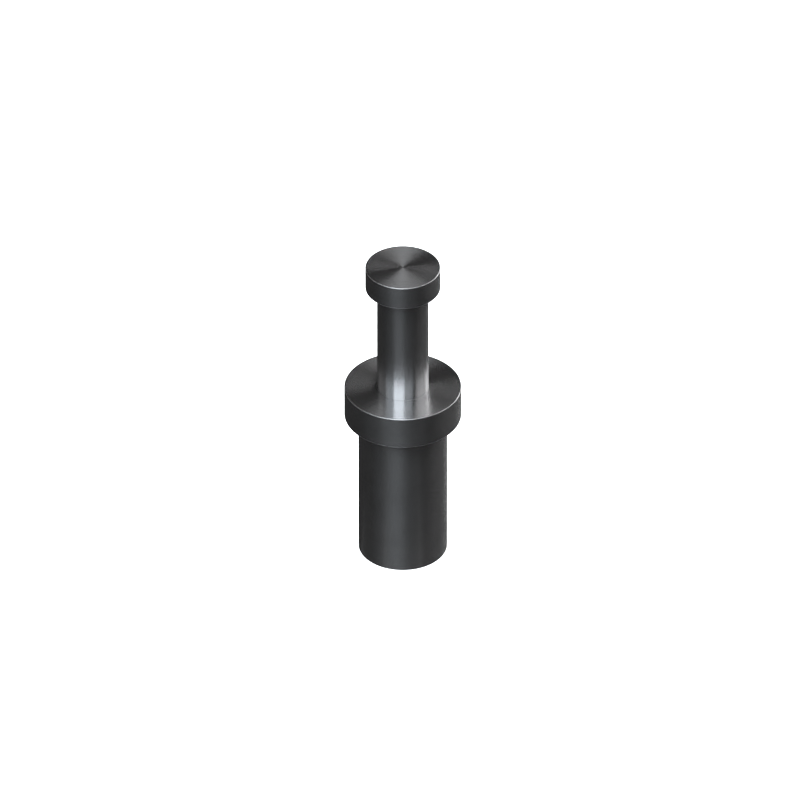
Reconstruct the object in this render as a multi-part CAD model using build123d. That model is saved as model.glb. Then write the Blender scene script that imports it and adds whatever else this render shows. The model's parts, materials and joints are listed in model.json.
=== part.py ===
from build123d import *
from math import radians, tan
import os

# Headed post for quick change tools. A stud with a flat head and a plain neck sits in the bore of
# a flanged sleeve, and a socket head screw draws it down from below. A tool hooks round the neck,
# under the head, and sits on the collar; the shank below the collar goes in a bore.
# Millimetres. +Z points up the axis. The origin is on the axis in the plane of the collar's
# underside, which is the face that the post seats on.

# Outside of the post
head_diameter = 16.0
head_height = 5.25
neck_diameter = 11.0
neck_length = 25.6
collar_diameter = 25.0
collar_thickness = 7.3
shank_diameter = 19.0
shank_length = 34.3
edge_break = 0.15  # chamfer on every outside rim
neck_root_radius = 0.4  # tool nose radius left under the head

# Draw screw, M6 x 20, and its two washers
screw_diameter = 6.0
screw_length = 20.0
screw_head_diameter = 10.0
screw_head_height = 6.0
screw_head_break = 0.6
screw_tip_break = 0.8
socket_across_flats = 5.0
socket_depth = 3.0
washer_diameter = 11.0
washer_thickness = 1.6
washer_break = 0.2
spring_diameter = 9.9
spring_thickness = 1.6
spring_gap = 1.2  # width of the split
spring_split_angle = 20.0  # lean of the split from the axis, in degrees

# Inside of the sleeve and the stud
web_thickness = 6.0  # floor that the stud seats on and the screw pulls against
screw_recess = 2.4  # from the foot up to the screw's head
thread_run_out = 3.0  # tapped hole left past the screw's tip
drill_point_angle = 118.0
pilot_lead = 0.5  # chamfer on the stud's foot
hole_break = 0.3  # chamfer at the mouths of the drilled and bored holes
bore_mouth_break = 0.03  # only takes the burr off, so that the joint hardly shows

# Clearances, all radial
pilot_clearance = 0.015  # stud in the sleeve's bore
thread_clearance = 0.05  # screw in the tapped hole, both drawn as plain cylinders
screw_clearance = 0.3  # screw through the web
washer_clearance = 0.2  # screw through each washer
counterbore_clearance = 0.5  # widest washer or screw head in the foot's counterbore

# Heights
collar_top = collar_thickness
head_base = collar_top + neck_length
head_top = head_base + head_height
foot = -shank_length
screw_head_base = foot + screw_recess
screw_head_seat = screw_head_base + screw_head_height
spring_top = screw_head_seat + spring_thickness
web_base = spring_top + washer_thickness
stud_foot = web_base + web_thickness
screw_tip = screw_head_seat + screw_length
tapped_end = screw_tip + thread_run_out

# Diameters
pilot_bore = neck_diameter + 2 * pilot_clearance
tapped_hole = screw_diameter + 2 * thread_clearance
web_hole = screw_diameter + 2 * screw_clearance
washer_hole = screw_diameter + 2 * washer_clearance
counterbore = max(washer_diameter, spring_diameter, screw_head_diameter) + 2 * counterbore_clearance

SAME = 1e-4  # two lengths closer than this are the same length


def bar(diameter, low, high):
    """A round bar on the axis, from one height up to another."""
    standing = (Align.CENTER, Align.CENTER, Align.MIN)
    return Pos(0, 0, low) * Cylinder(diameter / 2, high - low, align=standing)


def rim(shape, diameter, height):
    """The round edge of a turned shape that has this diameter and height."""

    def matches(edge):
        return abs(edge.radius - diameter / 2) < SAME and abs(edge.arc_center.Z - height) < SAME

    return shape.edges().filter_by(GeomType.CIRCLE).filter_by(matches)


def headed_stud():
    """Flat head, plain neck and pilot in one turning, tapped from its foot for the draw screw."""
    stud = bar(head_diameter, head_base, head_top) + bar(neck_diameter, stud_foot, head_base)
    stud = chamfer(rim(stud, head_diameter, head_top), edge_break)
    stud = chamfer(rim(stud, head_diameter, head_base), edge_break)
    stud = fillet(rim(stud, neck_diameter, head_base), neck_root_radius)
    stud = chamfer(rim(stud, neck_diameter, stud_foot), pilot_lead)
    point_height = tapped_hole / 2 / tan(radians(drill_point_angle / 2))
    point = Cone(tapped_hole / 2, 0, point_height, align=(Align.CENTER, Align.CENTER, Align.MIN))
    stud -= bar(tapped_hole, stud_foot, tapped_end) + Pos(0, 0, tapped_end) * point
    return chamfer(rim(stud, tapped_hole, stud_foot), hole_break)


def flanged_sleeve():
    """Collar and shank in one turning, bored from the top for the stud and from the foot for the
    screw's head, with a web between."""
    sleeve = bar(collar_diameter, 0, collar_top) + bar(shank_diameter, foot, 0)
    sleeve = chamfer(rim(sleeve, collar_diameter, collar_top), edge_break)
    sleeve = chamfer(rim(sleeve, collar_diameter, 0), edge_break)
    sleeve = chamfer(rim(sleeve, shank_diameter, foot), edge_break)
    sleeve -= bar(pilot_bore, stud_foot, collar_top)
    sleeve -= bar(web_hole, web_base, stud_foot)
    sleeve -= bar(counterbore, foot, web_base)
    sleeve = chamfer(rim(sleeve, pilot_bore, collar_top), bore_mouth_break)
    return chamfer(rim(sleeve, counterbore, foot), hole_break)


def draw_screw():
    """Socket head cap screw, head down, with its thread drawn as a plain cylinder."""
    screw = bar(screw_head_diameter, screw_head_base, screw_head_seat)
    screw += bar(screw_diameter, screw_head_seat, screw_tip)
    screw = chamfer(rim(screw, screw_head_diameter, screw_head_base), screw_head_break)
    screw = chamfer(rim(screw, screw_diameter, screw_tip), screw_tip_break)
    hexagon = RegularPolygon(socket_across_flats / 2, 6, major_radius=False)
    return screw - Pos(0, 0, screw_head_base) * extrude(hexagon, socket_depth)


def lock_washer():
    """Spring washer pressed flat, with a leaning split at +X."""
    ring = bar(spring_diameter, screw_head_seat, spring_top)
    ring -= bar(washer_hole, screw_head_seat, spring_top)
    middle = (screw_head_seat + spring_top) / 2
    split = Box(spring_diameter, spring_gap, 3 * spring_thickness)
    return ring - Pos(spring_diameter / 2, 0, middle) * Rot(spring_split_angle, 0, 0) * split


def plain_washer():
    """Flat washer against the sleeve's web."""
    ring = bar(washer_diameter, spring_top, web_base) - bar(washer_hole, spring_top, web_base)
    ring = chamfer(rim(ring, washer_diameter, spring_top), washer_break)
    return chamfer(rim(ring, washer_diameter, web_base), washer_break)


parts = {
    "headed_stud": headed_stud(),
    "flanged_sleeve": flanged_sleeve(),
    "draw_screw": draw_screw(),
    "lock_washer": lock_washer(),
    "plain_washer": plain_washer(),
}

os.makedirs("parts", exist_ok=True)
for name, shape in parts.items():
    export_step(shape, f"parts/{name}.step")
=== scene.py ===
import json
import math

import bmesh
import bpy
from bpy.props import FloatProperty, FloatVectorProperty, IntProperty, PointerProperty
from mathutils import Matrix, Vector


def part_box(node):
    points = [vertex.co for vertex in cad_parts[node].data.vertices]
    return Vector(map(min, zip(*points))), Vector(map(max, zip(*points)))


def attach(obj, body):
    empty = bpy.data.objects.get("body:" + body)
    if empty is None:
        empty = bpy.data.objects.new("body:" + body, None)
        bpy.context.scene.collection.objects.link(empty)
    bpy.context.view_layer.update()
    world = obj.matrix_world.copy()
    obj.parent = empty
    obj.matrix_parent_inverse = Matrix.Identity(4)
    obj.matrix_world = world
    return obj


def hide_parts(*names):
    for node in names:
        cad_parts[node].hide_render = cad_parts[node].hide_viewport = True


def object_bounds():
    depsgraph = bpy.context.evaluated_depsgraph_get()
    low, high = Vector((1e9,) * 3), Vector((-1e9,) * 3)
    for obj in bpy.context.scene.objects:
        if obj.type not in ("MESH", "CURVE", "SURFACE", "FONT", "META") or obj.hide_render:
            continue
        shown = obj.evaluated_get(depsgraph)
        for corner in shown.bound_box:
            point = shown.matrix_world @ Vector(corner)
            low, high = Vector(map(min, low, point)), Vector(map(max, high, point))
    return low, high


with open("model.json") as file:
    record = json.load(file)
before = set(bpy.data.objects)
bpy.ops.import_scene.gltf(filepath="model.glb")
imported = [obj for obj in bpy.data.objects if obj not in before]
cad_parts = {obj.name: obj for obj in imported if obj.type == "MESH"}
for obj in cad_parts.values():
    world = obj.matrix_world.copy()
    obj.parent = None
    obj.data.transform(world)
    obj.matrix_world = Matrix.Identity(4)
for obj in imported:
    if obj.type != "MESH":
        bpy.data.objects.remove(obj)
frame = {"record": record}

bl_info = {
    "name": "Headed Tool Post",
    "version": (1, 0, 0),
    "blender": (4, 5, 0),
    "location": "3D View > Sidebar > Tool Post",
    "description": "Turned and blacked post for quick change tools, with its screw and washers",
    "category": "Add Mesh",
}

MM = 0.001
CAD_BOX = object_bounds()
MOUNTS = {mount["name"]: mount for mount in frame["record"]["mounts"]}

ARC_STEPS = 5  # facets round a broken edge
SUPPORT = 0.03 * MM  # ring beside each broken edge, which keeps the flat beyond it flat
SAME_PLACE = 0.001 * MM
FLOOR_GAP = 0.02 * MM  # keeps the foot's face clear of the floor's
RINGS_PER_TURN = 12  # points along one turn of a thread
CREST_EDGE = 7 / 16  # distance from the root's middle to the crest's edge, in turns
ROOT_EDGE = 1 / 8  # distance from the root's middle to its edge, in turns
DRILL_POINT = math.radians(118)  # angle of the drill's point in the stud's hole
SOCKET_PILOT = 0.49  # radius of the hole drilled for the socket, as a share of the key's size
SOCKET_MOUTH = 0.62  # radius of the socket's wide mouth, as a share of the key's size
SOCKET_POINT = 0.5  # depth of the point at the socket's end, as a share of the drilled radius
KNURL_START = 1.5  # distance from the head's outer end to the knurl, in head breaks
FLOOR_SIZE = 6.0  # metres
VIEW_SHIFT = (-0.6 * MM, 1.39 * MM, 0)  # how far the camera moves across its own view


def mount_radius(name):
    """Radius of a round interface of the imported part, in metres."""
    return MOUNTS[name]["dims"]["r_mm"] * MM


def mount_height(name):
    """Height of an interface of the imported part, in metres."""
    return MOUNTS[name]["pos_m"][2]


def node_height(node, end):
    """Lowest (0) or highest (1) point of a CAD node."""
    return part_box(node)[end].z


def node_radius(node):
    """Largest radius of a CAD node."""
    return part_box(node)[1].y


def length(name, default, description):
    """A length that the panel shows."""
    return FloatProperty(
        name=name, description=description, default=default, min=0, precision=5, unit="LENGTH"
    )


def share(name, default, description):
    """A number from nought to one that the panel shows."""
    return FloatProperty(
        name=name, description=description, default=default, min=0, max=1, subtype="FACTOR"
    )


def colour(name, default, description):
    """A colour that the panel shows."""
    return FloatVectorProperty(
        name=name, description=description, default=default, size=3, min=0, max=1, subtype="COLOR"
    )


# ---------------------------------------------------------------- settings


class TOOLPOST_PG_turning(bpy.types.PropertyGroup):
    """Sizes of the two turned pieces that the CAD boxes don't give."""

    segments: IntProperty(
        name="Segments", description="Flats round each turned piece", default=192, min=24, max=384
    )
    edge_break: length("Edge Break", 0.15 * MM, "Broken edge on every outside rim")
    neck_root: length("Neck Root", 0.4 * MM, "Radius left by the tool under the head")
    pilot_lead: length("Pilot Lead", 0.5 * MM, "Chamfer on the stud's foot")
    tapped_radius: length("Tapped Radius", 3.05 * MM, "Radius of the stud's tapped hole")
    tapped_past_screw: length("Tapped Run Out", 3.0 * MM, "Tapped hole left past the screw's tip")
    pilot_clearance: length("Pilot Clearance", 0.015 * MM, "Gap all round the stud in its bore")
    web_hole_radius: length("Web Hole", 3.3 * MM, "Radius of the screw's hole in the web")
    counterbore_radius: length("Counterbore", 6.0 * MM, "Radius of the hole in the foot")
    hole_break: length("Hole Break", 0.3 * MM, "Chamfer at the mouth of each hole")
    bore_break: length("Bore Break", 0.03 * MM, "Chamfer at the mouth of the stud's bore")


class TOOLPOST_PG_fasteners(bpy.types.PropertyGroup):
    """Sizes of the draw screw and its washers that the CAD boxes don't give."""

    segments: IntProperty(
        name="Segments", description="Flats round the screw and each washer", default=144, min=48, max=288
    )
    pitch: length("Pitch", 1.0 * MM, "Pitch of the screw thread")
    thread_depth: length("Thread Depth", 0.6 * MM, "Depth of the thread's groove")
    head_height: length("Head Height", 6.0 * MM, "Height of the screw's head")
    shank_radius: length("Shank Radius", 3.0 * MM, "Outside radius of the thread")
    head_break: length("Head Break", 0.6 * MM, "Rounding on the outer end of the head")
    tip_break: length("Tip Break", 0.8 * MM, "Rounding on the screw's tip")
    plain_shank: length("Plain Shank", 1.2 * MM, "Unthreaded length under the head")
    socket_flats: length("Socket Flats", 5.0 * MM, "Size of the key that fits the head")
    socket_depth: length("Socket Depth", 3.0 * MM, "Depth of the flat-sided part of the socket")
    knurl_depth: length("Knurl Depth", 0.14 * MM, "Depth of the grooves round the head")
    knurl_teeth: IntProperty(name="Knurl Teeth", description="Grooves round the head", default=36, min=12)
    washer_hole: length("Washer Hole", 3.2 * MM, "Radius of the hole in each washer")
    spring_gap: length("Spring Gap", 1.2 * MM, "Width of the split in the spring washer")
    spring_lean: FloatProperty(
        name="Spring Lean", description="Lean of the split", default=math.radians(20), subtype="ANGLE"
    )


class TOOLPOST_PG_finish(bpy.types.PropertyGroup):
    """Colours and wear of the metal."""

    oxide_dark: colour("Dark Oxide", (0.27, 0.27, 0.275), "Black oxide where it is thickest")
    oxide_light: colour("Light Oxide", (0.35, 0.35, 0.355), "Black oxide where it is thinnest")
    worn_steel: colour("Worn Steel", (0.45, 0.445, 0.44), "Steel that shows where the oxide is rubbed")
    wear: share("Wear", 0.3, "How far the oxide is rubbed from the rims")
    mark_spacing: length("Mark Spacing", 0.32 * MM, "Distance from one turning mark to the next")
    screw_black: colour("Screw Black", (0.09, 0.09, 0.095), "Black oxide of the screw")
    zinc: colour("Zinc", (0.6, 0.62, 0.66), "Zinc plate of the washers")
    zinc_dull: colour("Dull Zinc", (0.42, 0.43, 0.44), "Zinc plate where it has dulled")


class TOOLPOST_PG_stage(bpy.types.PropertyGroup):
    """Camera and light."""

    lens: length("Lens", 1.0, "Focal length of the camera")
    elevation: FloatProperty(
        name="Elevation",
        description="Height of the camera over the floor, as an angle",
        default=math.atan(math.sqrt(0.5)),
        subtype="ANGLE",
    )
    view_width: length("View Width", 170.6 * MM, "Width that the camera sees at the post")
    brightness: FloatProperty(
        name="Brightness", description="Strength of all the lights together", default=1.0, min=0
    )
    foot_light_size: length("Foot Light Size", 120 * MM, "Width of the panel under the floor")
    foot_light_power: FloatProperty(
        name="Foot Light Power",
        description="Power of the panel under the floor",
        default=0.014,
        unit="POWER",
    )
    floor_tone: share("Floor Tone", 0.97, "How pale the floor and the far background are")
    room_tone: share("Room Tone", 0.05, "Light that comes from all round")


SETTINGS = {
    "toolpost_turning": TOOLPOST_PG_turning,
    "toolpost_fasteners": TOOLPOST_PG_fasteners,
    "toolpost_finish": TOOLPOST_PG_finish,
    "toolpost_stage": TOOLPOST_PG_stage,
}


# ---------------------------------------------------------------- turning


def rounded_section(corners):
    """Points of a turned section in the XZ plane. Each corner is (radius, height, rounding): an
    arc starts and ends at the rounding's distance from the corner, between two support points."""
    points = []
    for index, (radius, height, rounding) in enumerate(corners):
        corner = Vector((radius, height))
        if not rounding:
            points.append(corner)
            continue
        back = (Vector(corners[index - 1][:2]) - corner).normalized()
        ahead = (Vector(corners[(index + 1) % len(corners)][:2]) - corner).normalized()
        half = back.angle(ahead) / 2
        centre = corner + (back + ahead).normalized() * rounding / math.cos(half)
        spoke = corner + back * rounding - centre
        sweep = math.pi - 2 * half
        points.append(corner + back * (rounding + SUPPORT))
        for step in range(ARC_STEPS + 1):
            turned = sweep * step / ARC_STEPS
            points.append(centre + spoke * math.cos(turned) - back * spoke.length * math.sin(turned))
        points.append(corner + ahead * (rounding + SUPPORT))
    return points


def start_section(name, first):
    """A new mesh object in edit mode that holds one selected point of a section."""
    bpy.ops.object.select_all(action="DESELECT")
    bpy.ops.mesh.primitive_plane_add(size=MM)
    piece = bpy.context.object
    piece.name = name
    piece.data.name = name
    bpy.ops.object.mode_set(mode="EDIT")
    bpy.ops.mesh.select_all(action="SELECT")
    bpy.ops.mesh.merge(type="CENTER")
    bpy.ops.transform.translate(value=(first.x, 0, first.y))
    return piece


def turn(name, corners, segments, bored=False):
    """A turned piece: its section is drawn point by point and spun about the axis. The section of
    a bored piece closes on itself, and any other one starts and ends on the axis."""
    points = rounded_section(corners)
    points += points[:1] if bored else []
    piece = start_section(name, points[0])
    for last, point in zip(points, points[1:]):
        step = point - last
        bpy.ops.mesh.extrude_vertices_move(TRANSFORM_OT_translate={"value": (step.x, 0, step.y)})
    bpy.ops.mesh.select_all(action="SELECT")
    bpy.ops.mesh.spin(steps=segments, angle=math.tau, center=(0, 0, 0), axis=(0, 0, 1))
    bpy.ops.mesh.select_all(action="SELECT")
    bpy.ops.mesh.remove_doubles(threshold=SAME_PLACE)
    bpy.ops.mesh.normals_make_consistent(inside=False)
    bpy.ops.object.mode_set(mode="OBJECT")
    bpy.ops.object.shade_smooth()
    return piece


def stretch(radius, low, high, step):
    """Plain section points along a cylinder, close enough together to be shaped afterwards."""
    count = math.ceil(abs(high - low) / step)
    return [(radius, low + (high - low) * index / count, 0) for index in range(1, count)]


def thread_groove(turns):
    """Depth of a 60 degree thread's groove, from 0 on the crest to 1 at the root."""
    from_root = abs(turns % 1 - 0.5)
    return min(1, max(0, (CREST_EDGE - from_root) / (CREST_EDGE - ROOT_EDGE)))


def cut_thread(piece, radius, low, high, sizes):
    """Moves the points of a cylinder into a right-hand thread, fading out over the last turn at
    each end. Two pieces cut this way fit each other."""
    for point in piece.data.vertices:
        place = point.co
        if abs(math.hypot(place.x, place.y) - radius) > SAME_PLACE or not low < place.z < high:
            continue
        turns = place.z / sizes.pitch - math.atan2(place.y, place.x) / math.tau
        fade = min(1, (place.z - low) / sizes.pitch, (high - place.z) / sizes.pitch)
        share_kept = 1 - sizes.thread_depth * thread_groove(turns) * fade / radius
        place.x *= share_kept
        place.y *= share_kept


def knurl(piece, radius, low, high, sizes):
    """Moves the points of a cylinder into straight grooves."""
    for point in piece.data.vertices:
        place = point.co
        if abs(math.hypot(place.x, place.y) - radius) > SAME_PLACE or not low < place.z < high:
            continue
        wave = 0.5 - 0.5 * math.cos(sizes.knurl_teeth * math.atan2(place.y, place.x))
        share_kept = 1 - sizes.knurl_depth * wave / radius
        place.x *= share_kept
        place.y *= share_kept


def cut_away(piece, cutter):
    """Takes the cutter's shape out of a piece and removes the cutter."""
    bpy.ops.object.select_all(action="DESELECT")
    bpy.context.view_layer.objects.active = piece
    piece.select_set(True)
    cut = piece.modifiers.new("cut", "BOOLEAN")
    cut.object = cutter
    cut.solver = "EXACT"
    bpy.ops.object.modifier_apply(modifier=cut.name)
    bpy.data.objects.remove(cutter)


def shade_flats(piece):
    """Smooth shading that stops at the sharp edges."""
    bpy.ops.object.select_all(action="DESELECT")
    bpy.context.view_layer.objects.active = piece
    piece.select_set(True)
    bpy.ops.object.shade_smooth_by_angle(angle=math.radians(35))


def check_closed(piece):
    """Stops the script if a finished piece has an open or a doubled edge."""
    mesh = bmesh.new()
    mesh.from_mesh(piece.data)
    loose = sum(not edge.is_manifold for edge in mesh.edges)
    volume = mesh.calc_volume(signed=True)
    mesh.free()
    if loose or volume <= 0:
        raise RuntimeError(f"{piece.name} isn't a closed solid: {loose} edges, volume {volume:.3e}")


def hand_over(piece, node, material):
    """Gives a finished piece its material and its body, and hides the CAD node that it replaces."""
    check_closed(piece)
    piece.data.materials.clear()
    piece.data.materials.append(material)
    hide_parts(node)
    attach(piece, "root")


# ---------------------------------------------------------------- effects


def add_node(tree, kind, inputs=None, **settings):
    """A node with its settings and the values or links of its inputs."""
    made = tree.nodes.new(kind)
    for key, value in settings.items():
        setattr(made, key, value)
    for key, value in (inputs or {}).items():
        if isinstance(value, bpy.types.NodeSocket):
            tree.links.new(value, made.inputs[key])
        else:
            made.inputs[key].default_value = value
    return made


def sums(tree, operation, *values, clamp=False):
    """The result of a Math node."""
    inputs = dict(enumerate(values))
    return add_node(tree, "ShaderNodeMath", inputs, operation=operation, use_clamp=clamp).outputs[0]


def noise(tree, inputs, **settings):
    """The pattern of a Noise Texture node."""
    return add_node(tree, "ShaderNodeTexNoise", inputs, **settings).outputs["Fac"]


def map_range(tree, inputs, **settings):
    """The result of a Map Range node: the value is input 0, and its range is inputs 1 and 2."""
    return add_node(tree, "ShaderNodeMapRange", inputs, **settings).outputs[0]


def start_group(name, inputs, outputs):
    """A shader node group with named number sockets, and its two end nodes."""
    tree = bpy.data.node_groups.new(name, "ShaderNodeTree")
    for label, default in inputs.items():
        socket = tree.interface.new_socket(name=label, in_out="INPUT", socket_type="NodeSocketFloat")
        socket.default_value = default
    for label in outputs:
        tree.interface.new_socket(name=label, in_out="OUTPUT", socket_type="NodeSocketFloat")
    return tree, tree.nodes.new("NodeGroupInput"), tree.nodes.new("NodeGroupOutput")


def steepness(tree):
    """How far a surface faces up or down: 0 on a wall, 1 on a flat."""
    normal = add_node(tree, "ShaderNodeNewGeometry").outputs["Normal"]
    apart = add_node(tree, "ShaderNodeSeparateXYZ", {0: normal}).outputs
    return sums(tree, "ABSOLUTE", apart["Z"])


def turning_marks_group():
    """Rings that a turning tool leaves: round the walls, and as circles on the flats."""
    inputs = {"Spacing": 0.3 * MM, "Unevenness": 0.5, "Seed": 0.0}
    tree, given, out = start_group("Turning Marks", inputs, ["Height", "Band"])
    place = add_node(tree, "ShaderNodeTexCoord").outputs["Object"]
    apart = add_node(tree, "ShaderNodeSeparateXYZ", {0: place}).outputs
    squares = [sums(tree, "MULTIPLY", apart[axis], apart[axis]) for axis in ("X", "Y")]
    radius = sums(tree, "SQRT", sums(tree, "ADD", *squares))
    flat = sums(tree, "GREATER_THAN", steepness(tree), 0.75)
    along = sums(
        tree, "ADD",
        sums(tree, "MULTIPLY", apart["Z"], sums(tree, "SUBTRACT", 1.0, flat)),
        sums(tree, "MULTIPLY", radius, flat),
    )
    rings = sums(tree, "DIVIDE", along, given.outputs["Spacing"])
    phase = sums(tree, "ADD", rings, given.outputs["Seed"])
    wave = sums(tree, "SINE", sums(tree, "MULTIPLY", phase, math.tau))
    regular = sums(tree, "MULTIPLY_ADD", wave, 0.5, 0.5)
    ragged = noise(
        tree, {"W": phase, "Scale": 1.7, "Detail": 4.0, "Roughness": 0.75}, noise_dimensions="1D"
    )
    broad = noise(
        tree, {"W": phase, "Scale": 0.13, "Detail": 2.0, "Roughness": 0.6}, noise_dimensions="1D"
    )
    calm = sums(tree, "MULTIPLY", regular, sums(tree, "SUBTRACT", 1.0, given.outputs["Unevenness"]))
    height = sums(tree, "MULTIPLY_ADD", ragged, given.outputs["Unevenness"], calm)
    tree.links.new(height, out.inputs["Height"])
    tree.links.new(broad, out.inputs["Band"])
    return tree


def corner_wear_group():
    """Where handling rubs the finish off: on the broken edges, in patches."""
    inputs = {"Amount": 0.5, "Patch Size": 2.0 * MM}
    tree, given, out = start_group("Corner Wear", inputs, ["Wear", "Corner"])
    place = add_node(tree, "ShaderNodeTexCoord").outputs["Object"]
    up = steepness(tree)
    off_walls = map_range(tree, {0: up, 1: 0.12, 2: 0.5}, interpolation_type="SMOOTHSTEP")
    off_flats = map_range(tree, {0: up, 1: 0.99, 2: 0.86}, interpolation_type="SMOOTHSTEP")
    corner = sums(tree, "MULTIPLY", off_walls, off_flats)
    scale = sums(tree, "DIVIDE", 1.0, given.outputs["Patch Size"])
    patches = noise(tree, {"Vector": place, "Scale": scale, "Detail": 5.0, "Roughness": 0.7})
    rubbed = sums(tree, "MULTIPLY", corner, map_range(tree, {0: patches, 1: 0.3, 2: 0.75}))
    wear = sums(tree, "MULTIPLY", rubbed, given.outputs["Amount"], clamp=True)
    tree.links.new(wear, out.inputs["Wear"])
    tree.links.new(corner, out.inputs["Corner"])
    return tree


def oxide_clouds_group():
    """Soft patches and a fine grain in a chemical finish."""
    inputs = {"Cloud Size": 6.0 * MM, "Grain Size": 0.12 * MM}
    tree, given, out = start_group("Oxide Clouds", inputs, ["Cloud", "Grain"])
    place = add_node(tree, "ShaderNodeTexCoord").outputs["Object"]
    for label, detail in (("Cloud", 4.0), ("Grain", 2.0)):
        scale = sums(tree, "DIVIDE", 1.0, given.outputs[label + " Size"])
        pattern = noise(tree, {"Vector": place, "Scale": scale, "Detail": detail, "Roughness": 0.6})
        tree.links.new(pattern, out.inputs[label])
    return tree


EFFECTS = {
    "Turning Marks": turning_marks_group,
    "Corner Wear": corner_wear_group,
    "Oxide Clouds": oxide_clouds_group,
}


def effect(tree, name, inputs=None):
    """One of the shared effects, placed in a material with its own values."""
    group = bpy.data.node_groups.get(name) or EFFECTS[name]()
    return add_node(tree, "ShaderNodeGroup", inputs, node_tree=group).outputs


def blend_colours(tree, amount, low, high):
    """One colour turning into another."""
    mix = tree.nodes.new("ShaderNodeMix")
    mix.data_type = "RGBA"
    for key, value in ((0, amount), (6, low), (7, high)):
        if isinstance(value, bpy.types.NodeSocket):
            tree.links.new(value, mix.inputs[key])
        else:
            mix.inputs[key].default_value = (*value, 1) if key else value
    return mix.outputs[2]


def start_material(name):
    """A new material, its node tree and its shader."""
    material = bpy.data.materials.new(name)
    material.use_nodes = True
    tree = material.node_tree
    shader = tree.nodes["Principled BSDF"]
    return material, tree, shader


def blacked_steel(name, seed):
    """Turned steel with a satin black oxide: rings from the tool, cloudy oxide, rubbed rims."""
    finish = bpy.context.scene.toolpost_finish
    material, tree, shader = start_material(name)
    marks = effect(
        tree, "Turning Marks", {"Spacing": finish.mark_spacing, "Unevenness": 0.6, "Seed": seed}
    )
    wear = effect(tree, "Corner Wear", {"Amount": finish.wear, "Patch Size": 2.5 * MM})
    clouds = effect(tree, "Oxide Clouds", {"Cloud Size": 7.0 * MM, "Grain Size": 0.15 * MM})
    thin = sums(tree, "MULTIPLY_ADD", clouds["Cloud"], 0.6, sums(tree, "MULTIPLY", marks["Band"], 0.4))
    oxide = blend_colours(tree, thin, finish.oxide_dark, finish.oxide_light)
    tone = blend_colours(tree, wear["Wear"], oxide, finish.worn_steel)
    tree.links.new(tone, shader.inputs["Base Color"])
    rough = sums(tree, "MULTIPLY_ADD", marks["Height"], 0.03, 0.225)
    rough = sums(tree, "MULTIPLY_ADD", clouds["Cloud"], 0.03, rough)
    tree.links.new(sums(tree, "MULTIPLY_ADD", wear["Corner"], 0.3, rough), shader.inputs["Roughness"])
    shader.inputs["Metallic"].default_value = 1.0
    shader.inputs["Anisotropic"].default_value = 0.88
    shader.inputs["Anisotropic Rotation"].default_value = 0.25
    tangent = add_node(tree, "ShaderNodeTangent", direction_type="RADIAL", axis="Z")
    tree.links.new(tangent.outputs[0], shader.inputs["Tangent"])
    height = sums(tree, "MULTIPLY_ADD", clouds["Grain"], 0.25, marks["Height"])
    bump = add_node(tree, "ShaderNodeBump", {"Height": height, "Strength": 0.35, "Distance": 0.0012 * MM})
    tree.links.new(bump.outputs[0], shader.inputs["Normal"])
    return material


def blacked_screw(name):
    """Black oxide on a forged and rolled screw: dark, even, rubbed on its corners and crests."""
    finish = bpy.context.scene.toolpost_finish
    material, tree, shader = start_material(name)
    wear = effect(tree, "Corner Wear", {"Amount": 0.6, "Patch Size": 1.2 * MM})
    clouds = effect(tree, "Oxide Clouds", {"Cloud Size": 2.5 * MM, "Grain Size": 0.1 * MM})
    rubbed = sums(tree, "MULTIPLY", wear["Wear"], 0.6)
    oxide = blend_colours(tree, clouds["Cloud"], finish.screw_black, finish.oxide_dark)
    tree.links.new(blend_colours(tree, rubbed, oxide, finish.worn_steel), shader.inputs["Base Color"])
    tree.links.new(sums(tree, "MULTIPLY_ADD", clouds["Cloud"], 0.15, 0.3), shader.inputs["Roughness"])
    shader.inputs["Metallic"].default_value = 1.0
    bump = add_node(
        tree, "ShaderNodeBump", {"Height": clouds["Grain"], "Strength": 0.4, "Distance": 0.01 * MM}
    )
    tree.links.new(bump.outputs[0], shader.inputs["Normal"])
    return material


def zinc_plate(name, seed):
    """Bright zinc over stamped steel: pale, a little cloudy, dull in patches."""
    finish = bpy.context.scene.toolpost_finish
    material, tree, shader = start_material(name)
    marks = effect(tree, "Turning Marks", {"Spacing": 0.2 * MM, "Unevenness": 0.9, "Seed": seed})
    clouds = effect(tree, "Oxide Clouds", {"Cloud Size": 1.8 * MM, "Grain Size": 0.08 * MM})
    tree.links.new(
        blend_colours(tree, clouds["Cloud"], finish.zinc_dull, finish.zinc), shader.inputs["Base Color"]
    )
    rough = sums(tree, "MULTIPLY_ADD", clouds["Cloud"], 0.2, 0.22)
    tree.links.new(rough, shader.inputs["Roughness"])
    shader.inputs["Metallic"].default_value = 1.0
    height = sums(tree, "MULTIPLY_ADD", marks["Height"], 0.3, clouds["Grain"])
    bump = add_node(tree, "ShaderNodeBump", {"Height": height, "Strength": 0.3, "Distance": 0.01 * MM})
    tree.links.new(bump.outputs[0], shader.inputs["Normal"])
    return material


# ---------------------------------------------------------------- pieces


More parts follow.
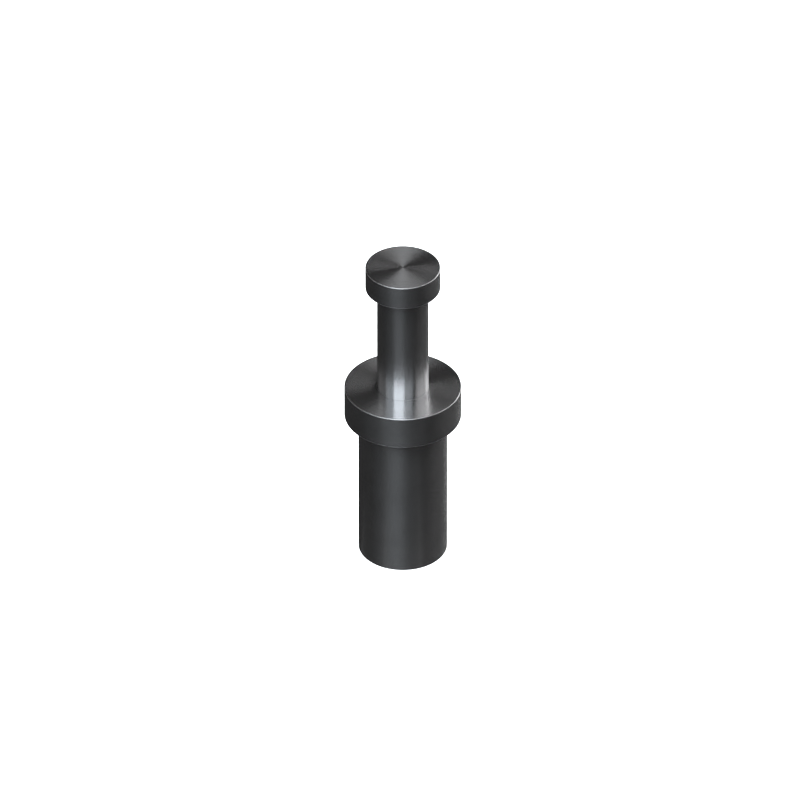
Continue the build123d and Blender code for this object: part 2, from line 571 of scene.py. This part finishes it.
class TOOLPOST_OT_headed_stud(bpy.types.Operator):
    """Turn the stud: flat head, slim neck and pilot, tapped from its foot"""

    bl_idname = "toolpost.headed_stud"
    bl_label = "Headed Stud"

    def execute(self, context):
        sizes = context.scene.toolpost_turning
        threads = context.scene.toolpost_fasteners
        head, neck = mount_radius("head"), mount_radius("neck")
        top, foot = node_height("headed_stud", 1), node_height("headed_stud", 0)
        under_head = mount_height("head_underside")
        hole = sizes.tapped_radius
        hole_end = node_height("draw_screw", 1) + sizes.tapped_past_screw
        drill_point = hole / math.tan(DRILL_POINT / 2)
        corners = [
            (0, top, 0),
            (head, top, sizes.edge_break),
            (head, under_head, sizes.edge_break),
            (neck, under_head, sizes.neck_root),
            (neck, foot, sizes.pilot_lead),
            (hole, foot, sizes.hole_break),
            *stretch(hole, foot + sizes.hole_break, hole_end, threads.pitch / RINGS_PER_TURN),
            (hole, hole_end, SUPPORT),
            (0, hole_end + drill_point, 0),
        ]
        piece = turn("headed_stud_turned", corners, sizes.segments)
        cut_thread(piece, hole, foot + sizes.hole_break, hole_end, threads)
        hand_over(piece, "headed_stud", blacked_steel("Blacked steel of the stud", 3.0))
        return {"FINISHED"}


class TOOLPOST_OT_flanged_sleeve(bpy.types.Operator):
    """Turn the sleeve: collar and shank, bored for the stud and for the screw's head"""

    bl_idname = "toolpost.flanged_sleeve"
    bl_label = "Flanged Sleeve"

    def execute(self, context):
        sizes = context.scene.toolpost_turning
        collar, shank = node_radius("flanged_sleeve"), mount_radius("shank")
        collar_top, foot = mount_height("collar_top"), mount_height("foot")
        bore = mount_radius("neck") + sizes.pilot_clearance
        web_top, web_base = node_height("headed_stud", 0), node_height("plain_washer", 1)
        corners = [
            (bore, collar_top, sizes.bore_break),
            (collar, collar_top, sizes.edge_break),
            (collar, 0, sizes.edge_break),
            (shank, 0, SUPPORT),
            (shank, foot, sizes.edge_break),
            (sizes.counterbore_radius, foot, sizes.hole_break),
            (sizes.counterbore_radius, web_base, SUPPORT),
            (sizes.web_hole_radius, web_base, SUPPORT),
            (sizes.web_hole_radius, web_top, SUPPORT),
            (bore, web_top, SUPPORT),
        ]
        piece = turn("flanged_sleeve_turned", corners, sizes.segments, bored=True)
        hand_over(piece, "flanged_sleeve", blacked_steel("Blacked steel of the sleeve", 8.0))
        return {"FINISHED"}


class TOOLPOST_OT_draw_screw(bpy.types.Operator):
    """Make the socket head screw: knurled head, key socket and thread"""

    bl_idname = "toolpost.draw_screw"
    bl_label = "Draw Screw"

    def execute(self, context):
        sizes = context.scene.toolpost_fasteners
        head, shank = node_radius("draw_screw"), sizes.shank_radius
        base, tip = node_height("draw_screw", 0), node_height("draw_screw", 1)
        seat = base + sizes.head_height
        pilot = SOCKET_PILOT * sizes.socket_flats
        mouth = SOCKET_MOUTH * sizes.socket_flats
        socket_end = base + sizes.socket_depth
        knurl_low, knurl_high = base + KNURL_START * sizes.head_break, seat - sizes.head_break
        fade = sizes.knurl_depth
        seat_edge, seat_root = 0.2 * MM, 0.15 * MM
        corners = [
            (0, socket_end + SOCKET_POINT * pilot, 0),
            (pilot, socket_end, 0),
            (pilot, base + (mouth - pilot) / 2, 0),
            (mouth, base, 0),
            (head, base, sizes.head_break),
            (head, knurl_low, 0),
            (head, knurl_low + fade, 0),
            (head, knurl_high - fade, 0),
            (head, knurl_high, 0),
            (head, seat, seat_edge),
            (shank, seat, seat_root),
            *stretch(shank, seat + sizes.plain_shank, tip - sizes.tip_break, sizes.pitch / RINGS_PER_TURN),
            (shank, tip, sizes.tip_break),
            (0, tip, 0),
        ]
        piece = turn("draw_screw_made", corners, sizes.segments)
        self.cut_socket(piece, base, sizes)
        cut_thread(piece, shank, seat + sizes.plain_shank, tip, sizes)
        knurl(piece, head, knurl_low + fade / 2, knurl_high - fade / 2, sizes)
        shade_flats(piece)
        hand_over(piece, "draw_screw", blacked_screw("Blacked steel of the screw"))
        return {"FINISHED"}

    def cut_socket(self, piece, base, sizes):
        """Takes the hexagon for the key out of the head."""
        half_side = math.radians(30)  # half of the angle that one side takes up
        bpy.ops.object.select_all(action="DESELECT")
        bpy.ops.mesh.primitive_cylinder_add(
            vertices=6,
            radius=sizes.socket_flats / 2 / math.cos(half_side),
            depth=2 * sizes.socket_depth,
            location=(0, 0, base),
            rotation=(0, 0, half_side),
        )
        cut_away(piece, bpy.context.object)


class TOOLPOST_OT_lock_washer(bpy.types.Operator):
    """Make the spring washer with its leaning split"""

    bl_idname = "toolpost.lock_washer"
    bl_label = "Lock Washer"

    def execute(self, context):
        sizes = context.scene.toolpost_fasteners
        hole, rim = sizes.washer_hole, node_radius("lock_washer")
        low, high = node_height("lock_washer", 0), node_height("lock_washer", 1)
        inner, outer = 0.15 * MM, 0.2 * MM  # roundings of the wire that it was wound from
        corners = [(hole, high, inner), (rim, high, outer), (rim, low, outer), (hole, low, inner)]
        piece = turn("lock_washer_made", corners, sizes.segments, bored=True)
        bpy.ops.object.select_all(action="DESELECT")
        bpy.ops.mesh.primitive_cube_add(
            size=1,
            location=(rim, 0, (low + high) / 2),
            rotation=(sizes.spring_lean, 0, 0),
            scale=(2 * rim, sizes.spring_gap, 3 * (high - low)),
        )
        cut_away(piece, bpy.context.object)
        shade_flats(piece)
        hand_over(piece, "lock_washer", zinc_plate("Zinc plate of the lock washer", 4.0))
        return {"FINISHED"}


class TOOLPOST_OT_plain_washer(bpy.types.Operator):
    """Make the flat washer"""

    bl_idname = "toolpost.plain_washer"
    bl_label = "Plain Washer"

    def execute(self, context):
        sizes = context.scene.toolpost_fasteners
        hole, rim = sizes.washer_hole, node_radius("plain_washer")
        low, high = node_height("plain_washer", 0), node_height("plain_washer", 1)
        sharp = 0.1 * MM
        soft_rim, soft_hole = 0.25 * MM, 0.2 * MM  # edges that stamping rounds on one side
        corners = [(hole, high, sharp), (rim, high, sharp), (rim, low, soft_rim), (hole, low, soft_hole)]
        piece = turn("plain_washer_made", corners, sizes.segments, bored=True)
        hand_over(piece, "plain_washer", zinc_plate("Zinc plate of the plain washer", 9.0))
        return {"FINISHED"}


# ---------------------------------------------------------------- stage


COOL = (0.88, 0.95, 1.0)
PLAIN = (1.0, 1.0, 1.0)
# Each light's azimuth, elevation and spread in degrees, its strength and its tint.
LIGHTS = {
    "key_light": (-18, 40, 40, 4.3, COOL),
    "key_light_left": (-56, 40, 44, 1.3, COOL),
    "top_light_front": (22, 54, 40, 1.5, COOL),
    "top_light": (10, 78, 40, 0.8, PLAIN),
    "side_light_right": (98, 34, 60, 2.4, PLAIN),
    "side_light_left": (-105, 30, 50, 0.4, PLAIN),
    "rim_light": (136, 12, 44, 3.4, PLAIN),
    "back_light": (178, 62, 30, 0.4, PLAIN),
}


def aim(thing, target):
    """Turns a camera or a light at a point."""
    thing.rotation_euler = (target - thing.location).to_track_quat("-Z", "Y").to_euler()


def around(azimuth, elevation, distance):
    """A place round the axis: azimuth 0 is in front, at -Y, and 90 is on the right, at +X."""
    turned, raised = math.radians(azimuth), math.radians(elevation)
    level = distance * math.cos(raised)
    return Vector((level * math.sin(turned), -level * math.cos(turned), distance * math.sin(raised)))


def soft_light(name, azimuth, elevation, spread, strength, tint):
    """A soft light far from the post, as wide as its spread in degrees."""
    data = bpy.data.lights.new(name, "SUN")
    data.angle = math.radians(spread)
    data.energy = strength
    data.color = tint
    light = bpy.data.objects.new(name, data)
    bpy.context.scene.collection.objects.link(light)
    light.location = around(azimuth, elevation, 1.0)
    aim(light, Vector((0, 0, 0)))


class TOOLPOST_OT_stage(bpy.types.Operator):
    """Set the pale floor, the soft light and the camera"""

    bl_idname = "toolpost.stage"
    bl_label = "Stage"

    def execute(self, context):
        stage = context.scene.toolpost_stage
        self.lay_floor(stage)
        self.hang_lights(stage)
        self.place_camera(context, stage)
        context.scene.view_settings.view_transform = "Standard"
        return {"FINISHED"}

    def lay_floor(self, stage):
        """A pale floor that is clear from below and doesn't show in the metal."""
        bpy.ops.object.select_all(action="DESELECT")
        bpy.ops.mesh.primitive_plane_add(size=FLOOR_SIZE, location=(0, 0, CAD_BOX[0][2] - FLOOR_GAP))
        floor = bpy.context.object
        floor.name = "pale_floor"
        material, tree, shader = start_material("Pale floor")
        shader.inputs["Base Color"].default_value = (0.8, 0.8, 0.8, 1)
        shader.inputs["Roughness"].default_value = 0.9
        shader.inputs["Emission Color"].default_value = (1, 1, 1, 1)
        shader.inputs["Emission Strength"].default_value = stage.floor_tone
        below = add_node(tree, "ShaderNodeNewGeometry").outputs["Backfacing"]
        clear = add_node(tree, "ShaderNodeBsdfTransparent").outputs[0]
        one_sided = add_node(tree, "ShaderNodeMixShader", {0: below, 1: shader.outputs[0], 2: clear})
        tree.links.new(one_sided.outputs[0], tree.nodes["Material Output"].inputs["Surface"])
        floor.data.materials.append(material)
        floor.visible_glossy = False

    def hang_lights(self, stage):
        """The soft lights, and a room that is dim to the metal and pale to the camera."""
        for name, place in LIGHTS.items():
            azimuth, elevation, spread, strength, tint = place
            soft_light(name, azimuth, elevation, spread, strength * stage.brightness, tint)
        self.light_foot(stage)
        world = bpy.data.worlds.new("Dim studio")
        world.use_nodes = True
        tree = world.node_tree
        dim = tree.nodes["Background"]
        dim.inputs["Color"].default_value = (1, 1, 1, 1)
        dim.inputs["Strength"].default_value = stage.room_tone
        pale = add_node(tree, "ShaderNodeBackground", {"Strength": stage.floor_tone})
        pale.inputs["Color"].default_value = (1, 1, 1, 1)
        seen = add_node(tree, "ShaderNodeLightPath").outputs["Is Camera Ray"]
        either = add_node(tree, "ShaderNodeMixShader", {0: seen, 1: dim.outputs[0], 2: pale.outputs[0]})
        tree.links.new(either.outputs[0], tree.nodes["World Output"].inputs["Surface"])
        bpy.context.scene.world = world

    def light_foot(self, stage):
        """A panel under the floor, which lights only what is seen from below."""
        data = bpy.data.lights.new("foot_light", "AREA")
        data.size = stage.foot_light_size
        data.energy = stage.foot_light_power * stage.brightness
        panel = bpy.data.objects.new("foot_light", data)
        bpy.context.scene.collection.objects.link(panel)
        panel.location = (0, 0, CAD_BOX[0][2] - stage.foot_light_size / 2)
        panel.rotation_euler = (math.pi, 0, 0)
        panel.visible_camera = False

    def place_camera(self, context, stage):
        """A long lens in front of the post, aimed at its middle and then moved across its view."""
        data = bpy.data.cameras.new("camera")
        data.lens = stage.lens / MM
        distance = stage.view_width * data.lens / data.sensor_width
        data.clip_end = 2 * distance
        camera = bpy.data.objects.new("camera", data)
        context.scene.collection.objects.link(camera)
        middle = Vector((0, 0, (CAD_BOX[0][2] + CAD_BOX[1][2]) / 2))
        away = around(0, math.degrees(stage.elevation), distance)
        camera.location = middle + away
        aim(camera, middle)
        context.view_layer.update()
        across = camera.matrix_world.to_quaternion() @ Vector(VIEW_SHIFT)
        camera.location += across
        context.scene.camera = camera


# ---------------------------------------------------------------- add-on


class TOOLPOST_PT_panel(bpy.types.Panel):
    """Sizes, finish and pieces of the tool post"""

    bl_label = "Tool Post"
    bl_idname = "TOOLPOST_PT_panel"
    bl_space_type = "VIEW_3D"
    bl_region_type = "UI"
    bl_category = "Tool Post"

    def draw(self, context):
        for attribute, group in SETTINGS.items():
            box = self.layout.box()
            for key in group.__annotations__:
                box.prop(getattr(context.scene, attribute), key)
        for operator in PIECES:
            self.layout.operator(operator.bl_idname)


PIECES = (
    TOOLPOST_OT_headed_stud,
    TOOLPOST_OT_flanged_sleeve,
    TOOLPOST_OT_draw_screw,
    TOOLPOST_OT_lock_washer,
    TOOLPOST_OT_plain_washer,
    TOOLPOST_OT_stage,
)
CLASSES = (*SETTINGS.values(), *PIECES, TOOLPOST_PT_panel)


def register():
    for cls in CLASSES:
        bpy.utils.register_class(cls)
    for attribute, group in SETTINGS.items():
        setattr(bpy.types.Scene, attribute, PointerProperty(type=group))


def unregister():
    for attribute in SETTINGS:
        delattr(bpy.types.Scene, attribute)
    for cls in reversed(CLASSES):
        bpy.utils.unregister_class(cls)


def main():
    """Builds the pieces and the stage."""
    register()
    bpy.ops.toolpost.headed_stud()
    bpy.ops.toolpost.flanged_sleeve()
    bpy.ops.toolpost.draw_screw()
    bpy.ops.toolpost.lock_washer()
    bpy.ops.toolpost.plain_washer()
    bpy.ops.toolpost.stage()


if __name__ == "__main__":
    main()
